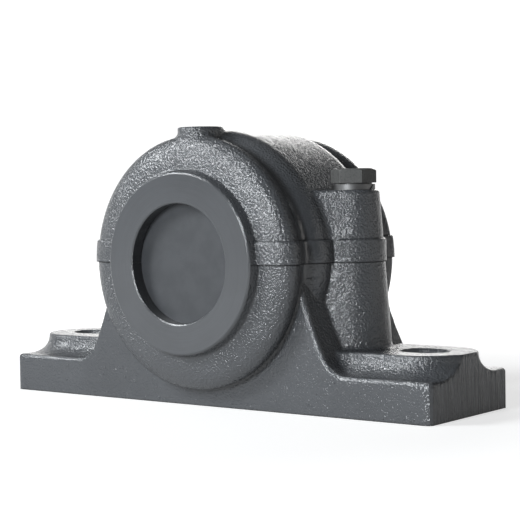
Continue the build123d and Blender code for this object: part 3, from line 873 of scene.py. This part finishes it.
class SandSpecks(GrownTree):
    """Low domes that grains of the sand mould leave on the flat sides of the casting."""

    name = "SandSpecks"
    sizes = dict.fromkeys(("Side Plane", "Density", "Smallest", "Largest"), Socket.NUMBER)
    sizes["Seed"] = Socket.WHOLE
    flatness = 0.28
    bare_rim = 2.0
    plane_gap = 0.02 * MM

    def wire(self, tree: Group) -> Link:
        """Scatter flat domes over the foot's sides, but for a rim as high as two of the largest.

        Args:
            tree: The tree.

        Returns:
            The domes' socket.
        """
        given = tree.given
        _, along, up = tree.split(tree.out("GeometryNodeInputPosition"))
        beyond = tree.math("SUBTRACT", tree.math("ABSOLUTE", along), given["Side Plane"])
        on_side = tree.less(tree.math("ABSOLUTE", beyond), self.plane_gap)
        scatter = {label: given[label] for label in ("Density", "Seed")}
        scatter |= {"Mesh": given["Geometry"], "Selection": on_side}
        method = "GeometryNodeDistributePointsOnFaces"
        points = tree.node(method, scatter, distribute_method="RANDOM").outputs
        low = tree.less(up, tree.times(given["Largest"], self.bare_rim))
        lowest = {"Geometry": points["Points"], "Selection": low}
        kept = tree.out("GeometryNodeDeleteGeometry", lowest, domain="POINT")
        dome = tree.out("GeometryNodeMeshIcoSphere", {"Radius": 1.0, "Subdivisions": 3})
        span = {2: given["Smallest"], 3: given["Largest"], "Seed": given["Seed"]}
        size = tree.node("FunctionNodeRandomValue", span, data_type="FLOAT").outputs[1]
        flat = {"X": size, "Y": size, "Z": tree.times(size, self.flatness)}
        placed = {"Points": kept, "Instance": dome, "Rotation": points["Rotation"]}
        placed["Scale"] = tree.out("ShaderNodeCombineXYZ", flat)
        domes = tree.out("GeometryNodeInstanceOnPoints", placed)
        real = tree.out("GeometryNodeRealizeInstances", {0: domes})
        return tree.out("GeometryNodeSetShadeSmooth", {"Geometry": real})


class ThreadRidge(GrownTree):
    """A screw thread's ridge, wound round a shank that stands along Z."""

    name = "ThreadRidge"
    sizes = dict.fromkeys(("Radius", "Pitch", "Length", "Depth"), Socket.NUMBER)
    sizes["Start"] = Socket.VECTOR
    steps = 32
    corners = 4

    def wire(self, tree: Group) -> Link:
        """Wind a diamond-shaped ridge up a helix, with its inner half sunk in the shank.

        Args:
            tree: The tree.

        Returns:
            The ridge's socket.
        """
        given = tree.given
        turns = {
            "Resolution": self.steps,
            "Rotations": tree.math("DIVIDE", given["Length"], given["Pitch"]),
            "Start Radius": given["Radius"],
            "End Radius": given["Radius"],
            "Height": given["Length"],
        }
        helix = tree.out("GeometryNodeCurveSpiral", turns)
        level = tree.out("GeometryNodeSetCurveNormal", {0: helix}, mode="Z_UP")
        diamond = {"Resolution": self.corners, "Radius": given["Depth"]}
        ridge = tree.out("GeometryNodeCurvePrimitiveCircle", diamond, mode="RADIUS")
        sweep = {"Curve": level, "Profile Curve": ridge, "Fill Caps": True}
        wound = tree.out("GeometryNodeCurveToMesh", sweep)
        place = {"Geometry": wound, "Translation": given["Start"]}
        placed = tree.out("GeometryNodeTransform", place)
        return tree.out("GeometryNodeRealizeInstances", {0: placed})


# ---- sub-assemblies
@dataclass(frozen=True)
class Thread:
    """Sizes of a screw thread's ridge: its middle line's radius, its rise, length and depth."""

    radius: float
    pitch: float
    length: float
    depth: float


@dataclass
class Assembly:
    """A group of CAD pieces that are dressed together, with what every group needs."""

    effects: Effects
    skin: SkinTree

    def dress(self, material: Material, *nodes: str) -> None:
        """Weld and smooth CAD nodes and give them one finish.

        Args:
            material: The finish.
            nodes: The nodes' names.
        """
        for node in nodes:
            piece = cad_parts[node]
            piece.data.materials.clear()
            piece.data.materials.append(material)
            self.skin.apply_to(piece)
            LOG.info("dressed %s in %s", node, material.name)


@dataclass
class Housing(Assembly):
    """The two castings with their bolts, washers, pins, plug, cover and seals."""

    bolt_thread: Thread = Thread(5.9 * MM, 1.75 * MM, 28.0 * MM, 0.45 * MM)
    plug_thread: Thread = Thread(4.9 * MM, 1.0 * MM, 5.0 * MM, 0.28 * MM)
    speck_density: float = 11000.0
    smallest_speck: float = 0.25 * MM
    largest_speck: float = 0.70 * MM
    speck_seed: int = 7

    def build(self) -> None:
        """Dress every piece of the housing, and grow its sand specks and threads."""
        sizes = HousingSizes.read()
        axis = (0.0, 0.0, sizes.axis_height)
        self._castings(sizes, axis)
        self._screws(axis)
        spring = BareSteel("spring_steel", grey(0.22), Lathe.BLACKENED, 0.3 * MM)
        washers = ("spring_washer_left", "spring_washer_right")
        self.dress(spring.build(self.effects, axis), *washers)
        ground = BareSteel("pin_steel", grey(0.60), Lathe.GROUND, 0.2 * MM)
        pins = ("dowel_pin_front_left", "dowel_pin_rear_right")
        self.dress(ground.build(self.effects, axis), *pins)
        rubber = Moulding("seal_rubber", (0.028, 0.028, 0.030, 1.0), 0.55)
        seals = ("cover_seal_cord", "shaft_seal_upper", "shaft_seal_lower")
        self.dress(rubber.build(self.effects), *seals)

    def _castings(self, sizes: HousingSizes, axis: Point) -> None:
        """Dress the cast halves and the end cover, and scatter specks over the foot's sides.

        Args:
            sizes: Where the housing's faces lie.
            axis: A point on the shaft's axis.
        """
        self.dress(CastPaint().build(self.effects, sizes), "housing_base", "housing_cap")
        SandSpecks().grow(
            "sand_specks",
            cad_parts["housing_base"].data.copy(),
            "housing",
            "painted_casting",
            Side_Plane=sizes.half_foot,
            Density=self.speck_density,
            Smallest=self.smallest_speck,
            Largest=self.largest_speck,
            Seed=self.speck_seed,
            Finish=PlainPaint("speck_paint", 0.6 * MM).build(self.effects, axis),
        )
        cover = PlainPaint("cover_paint", 0.6 * MM, (0.070, 0.074, 0.081, 1.0), 0.42)
        self.dress(cover.build(self.effects, axis), "end_cover")

    def _screws(self, axis: Point) -> None:
        """Dress the cap bolts and the plug, and wind their threads.

        Args:
            axis: A point on the shaft's axis.
        """
        head = PlainPaint("bolt_paint", 0.5 * MM, (0.106, 0.107, 0.104, 1.0), 0.30, wear=0.8)
        dark = BareSteel("plug_steel", (0.36, 0.36, 0.37, 1.0), Lathe.BLACKENED, 0.2 * MM)
        bolt, plug = head.build(self.effects, axis), dark.build(self.effects, axis)
        screws = (
            ("cap_bolt_left", self.bolt_thread, bolt, "bolt_steel"),
            ("cap_bolt_right", self.bolt_thread, bolt, "bolt_steel"),
            ("lubrication_plug", self.plug_thread, plug, "plug_steel"),
        )
        ridge = ThreadRidge()
        for node, thread, finish, slot in screws:
            self.dress(finish, node)
            low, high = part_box(node)
            ridge.grow(
                f"{node}_thread",
                bpy.data.meshes.new(f"{node}_thread"),
                "housing",
                slot,
                Radius=thread.radius,
                Pitch=thread.pitch,
                Length=thread.length,
                Depth=thread.depth,
                Start=((low.x + high.x) / 2, (low.y + high.y) / 2, low.z + thread.pitch),
                Finish=finish,
            )


class Bearing(Assembly):
    """The double-row self-aligning ball bearing, its locating rings and its sleeve."""

    def build(self) -> None:
        """Dress every piece of the bearing."""
        low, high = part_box("bearing_outer_ring")
        axis = (0.0, 0.0, (low.z + high.z) / 2)
        race = BareSteel("bearing_steel", (0.62, 0.62, 0.63, 1.0), Lathe.GROUND, 0.12 * MM)
        colour, faint = (0.72, 0.72, 0.73, 1.0), 0.0005 * MM
        ball = BareSteel("ball_steel", colour, Lathe.POLISHED, 0.2 * MM, faint)
        ring = BareSteel("ring_iron", grey(0.33), Lathe.TURNED, 0.3 * MM)
        sleeve = BareSteel("sleeve_steel", grey(0.50), Lathe.TURNED, 0.25 * MM)
        nut = BareSteel("nut_steel", (0.26, 0.26, 0.27, 1.0), Lathe.BLACKENED, 0.3 * MM)
        rows = [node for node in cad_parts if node.startswith(("ball_front", "ball_rear"))]
        steels = (
            (race, ("bearing_outer_ring", "bearing_inner_ring")),
            (ball, rows),
            (ring, ("locating_ring_front", "locating_ring_rear")),
            (sleeve, ("adapter_sleeve", "lock_washer")),
            (nut, ("lock_nut",)),
        )
        for finish, nodes in steels:
            self.dress(finish.build(self.effects, axis), *nodes)
        cage = Moulding("cage_polyamide", (0.55, 0.50, 0.38, 1.0), 0.42, fibre=0.8)
        self.dress(cage.build(self.effects), "ball_cage")


# ---- the studio
@dataclass(frozen=True)
class Camera:
    """A long lens in front of the closed end, a little above the foot."""

    azimuth: float = math.radians(37.58)
    elevation: float = math.radians(2.65)
    roll: float = math.radians(-1.0)
    place: Point = (0.48809, -0.62187, 0.10596)
    lens_mm: float = 108.94
    sensor_mm: float = 36.0
    clip: Span = (0.01, 50.0)

    def across(self) -> Vector:
        """Return the level direction to the camera's right."""
        return Vector((math.cos(self.azimuth), math.sin(self.azimuth), 0.0))

    def away(self) -> Vector:
        """Return the level direction away from the camera."""
        return Vector((-math.sin(self.azimuth), math.cos(self.azimuth), 0.0))

    def build(self) -> None:
        """Add the camera to the scene and make it the active one."""
        data = bpy.data.cameras.new("camera")
        data.lens, data.sensor_width = self.lens_mm, self.sensor_mm
        data.clip_start, data.clip_end = self.clip
        ahead = self.away() * math.cos(self.elevation)
        ahead.z = -math.sin(self.elevation)
        level = self.across()
        upright = level.cross(ahead)
        right = math.cos(self.roll) * level + math.sin(self.roll) * upright
        up = math.cos(self.roll) * upright - math.sin(self.roll) * level
        turn = Matrix((right, up, -ahead)).transposed()
        camera = bpy.data.objects.new("camera", data)
        camera.matrix_world = Matrix.Translation(Vector(self.place)) @ turn.to_4x4()
        bpy.context.scene.collection.objects.link(camera)
        bpy.context.scene.camera = camera


@dataclass(frozen=True)
class Lamp:
    """One soft box, placed by angles about the housing's middle and aimed at it.

    The azimuth is counted in degrees from -Y towards +X, and the elevation from the floor.
    """

    name: str
    azimuth: float
    elevation: float
    distance: float
    size: tuple[float, float]
    power: float
    colour: tuple[float, float, float]

    def build(self, target: Vector) -> None:
        """Add the lamp to the scene.

        Args:
            target: The point at which the lamp is aimed.
        """
        data = bpy.data.lights.new(self.name, "AREA")
        data.shape = "RECTANGLE"
        data.size, data.size_y = self.size
        data.energy, data.color = self.power, self.colour
        turn, rise = math.radians(self.azimuth), math.radians(self.elevation)
        level = Vector((math.sin(turn), -math.cos(turn), 0.0))
        away = level * math.cos(rise) + Vector((0.0, 0.0, math.sin(rise)))
        lamp = bpy.data.objects.new(self.name, data)
        lamp.location = target + away * self.distance
        lamp.rotation_mode = "QUATERNION"
        lamp.rotation_quaternion = (-away).to_track_quat("-Z", "Y")
        lamp.visible_camera = False
        bpy.context.scene.collection.objects.link(lamp)


@dataclass(frozen=True)
class Studio:
    """Pale floor, a white backdrop behind the object, dim surroundings and soft boxes."""

    camera: Camera = Camera()
    lamps: tuple[Lamp, ...] = (
        Lamp("key_box", -45.0, 31.0, 1.5, (0.5, 0.5), 17.5, (0.95, 0.98, 1.0)),
        Lamp("strip_box", 1.0, 14.0, 1.5, (0.14, 0.5), 12.5, (0.93, 0.97, 1.0)),
        Lamp("back_box", 213.0, 16.0, 1.3, (0.8, 0.3), 2.9, (1.0, 0.99, 0.97)),
        Lamp("side_box", 112.0, 14.0, 1.4, (0.6, 0.7), 1.0, (1.0, 0.98, 0.95)),
    )
    target: Point = (0.0, 0.0, 0.07)
    room_light: float = 0.06
    floor_reach: float = 12.0
    floor_gap: float = 0.05 * MM
    floor_fade: Ramp = (0.16, 0.42, 0.66, 1.0)
    floor_mirror: Ramp = (0.15, 0.6, 0.35, 1.0)
    sheet_reach: float = 1.6
    sheet_height: float = 0.92
    sheet_distance: float = 1.6

    def build(self) -> None:
        """Add floor, backdrop, surroundings, lamps and camera."""
        self._floor()
        self._backdrop()
        self._surroundings()
        for lamp in self.lamps:
            lamp.build(Vector(self.target))
        self.camera.build()
        bpy.context.scene.view_settings.view_transform = "Standard"

    @staticmethod
    def _shown(graph: Graph, mirrored: Value = 1.0) -> Link:
        """Return 1 for rays that show the surroundings, and 0 for rays that light the object.

        Args:
            graph: A graph on the material.
            mirrored: How strongly a reflection shows the surroundings.

        Returns:
            The mask's socket.
        """
        ray = graph.node("ShaderNodeLightPath").outputs
        reflected = graph.times(ray["Is Glossy Ray"], mirrored)
        return graph.most(ray["Is Camera Ray"], ray["Is Transmission Ray"], reflected)

    @staticmethod
    def _sheet(name: str, corners: list[Vector], material: Material) -> bpy.types.Object:
        """Add a flat sheet that isn't part of the object.

        Args:
            name: The sheet's name.
            corners: Its four corners.
            material: Its finish.

        Returns:
            The sheet.
        """
        mesh = bpy.data.meshes.new(name)
        mesh.from_pydata([tuple(corner) for corner in corners], [], [(0, 1, 2, 3)])
        mesh.materials.append(material)
        sheet = bpy.data.objects.new(name, mesh)
        bpy.context.scene.collection.objects.link(sheet)
        return sheet

    def _floor(self) -> None:
        """Add a wide pale floor just under the foot, which fades to plain white far away."""
        material, graph, shader, place = start_material("floor_paper")
        tone = graph.ease(graph.noise(place, 400.0), 0.2, 0.8)
        paper = graph.coats(grey(0.49), (tone, grey(0.51)))
        spread = graph.node("ShaderNodeVectorMath", {0: place}, operation="LENGTH").outputs[1]
        behind = graph.dot(place, tuple(self.camera.away()))
        shown = self._shown(graph, graph.ease(behind, *self.floor_mirror))
        glow = graph.times(graph.ease(spread, *self.floor_fade), shown)
        graph.fill(shader, Base_Color=paper, Roughness=0.9)
        graph.fill(shader, Emission_Color=grey(1.0), Emission_Strength=glow)
        reach = self.floor_reach
        ends = ((-reach, -reach), (reach, -reach), (reach, reach), (-reach, reach))
        floor = self._sheet("floor", [Vector((x, y, 0.0)) for x, y in ends], material)
        floor.location.z = -self.floor_gap

    def _backdrop(self) -> None:
        """Add an upright white sheet behind the object, which is seen but lights nothing."""
        material, graph, shader, place = start_material("backdrop_sheet")
        cloth = graph.coats(grey(0.2), (graph.noise(place, 300.0), grey(0.22)))
        graph.fill(shader, Base_Color=cloth, Roughness=1.0)
        graph.fill(shader, Emission_Color=grey(1.0), Emission_Strength=self._shown(graph))
        foot = self.camera.away() * self.sheet_distance
        reach = self.camera.across() * self.sheet_reach
        rise = Vector((0.0, 0.0, self.sheet_height))
        corners = [foot - reach, foot + reach, foot + reach + rise, foot - reach + rise]
        self._sheet("backdrop", corners, material)

    def _surroundings(self) -> None:
        """Show white to the camera, and a dim grey room to every other ray."""
        world = bpy.data.worlds.new("studio")
        bpy.context.scene.world = world
        world.use_nodes = True
        graph = Graph(world.node_tree)
        shader = next(node for node in world.node_tree.nodes if node.type == "BACKGROUND")
        strength = graph.levels(self.room_light, (self._shown(graph, 0.0), 1.0))
        graph.fill(shader, Color=grey(1.0), Strength=strength)


def main() -> None:
    """Build the studio and dress the housing and the bearing."""
    logging.basicConfig(level=logging.INFO, format="%(name)s: %(message)s")
    effects, skin = Effects(), SkinTree()
    Studio().build()
    Housing(effects, skin).build()
    Bearing(effects, skin).build()


if __name__ == "__main__":
    main()
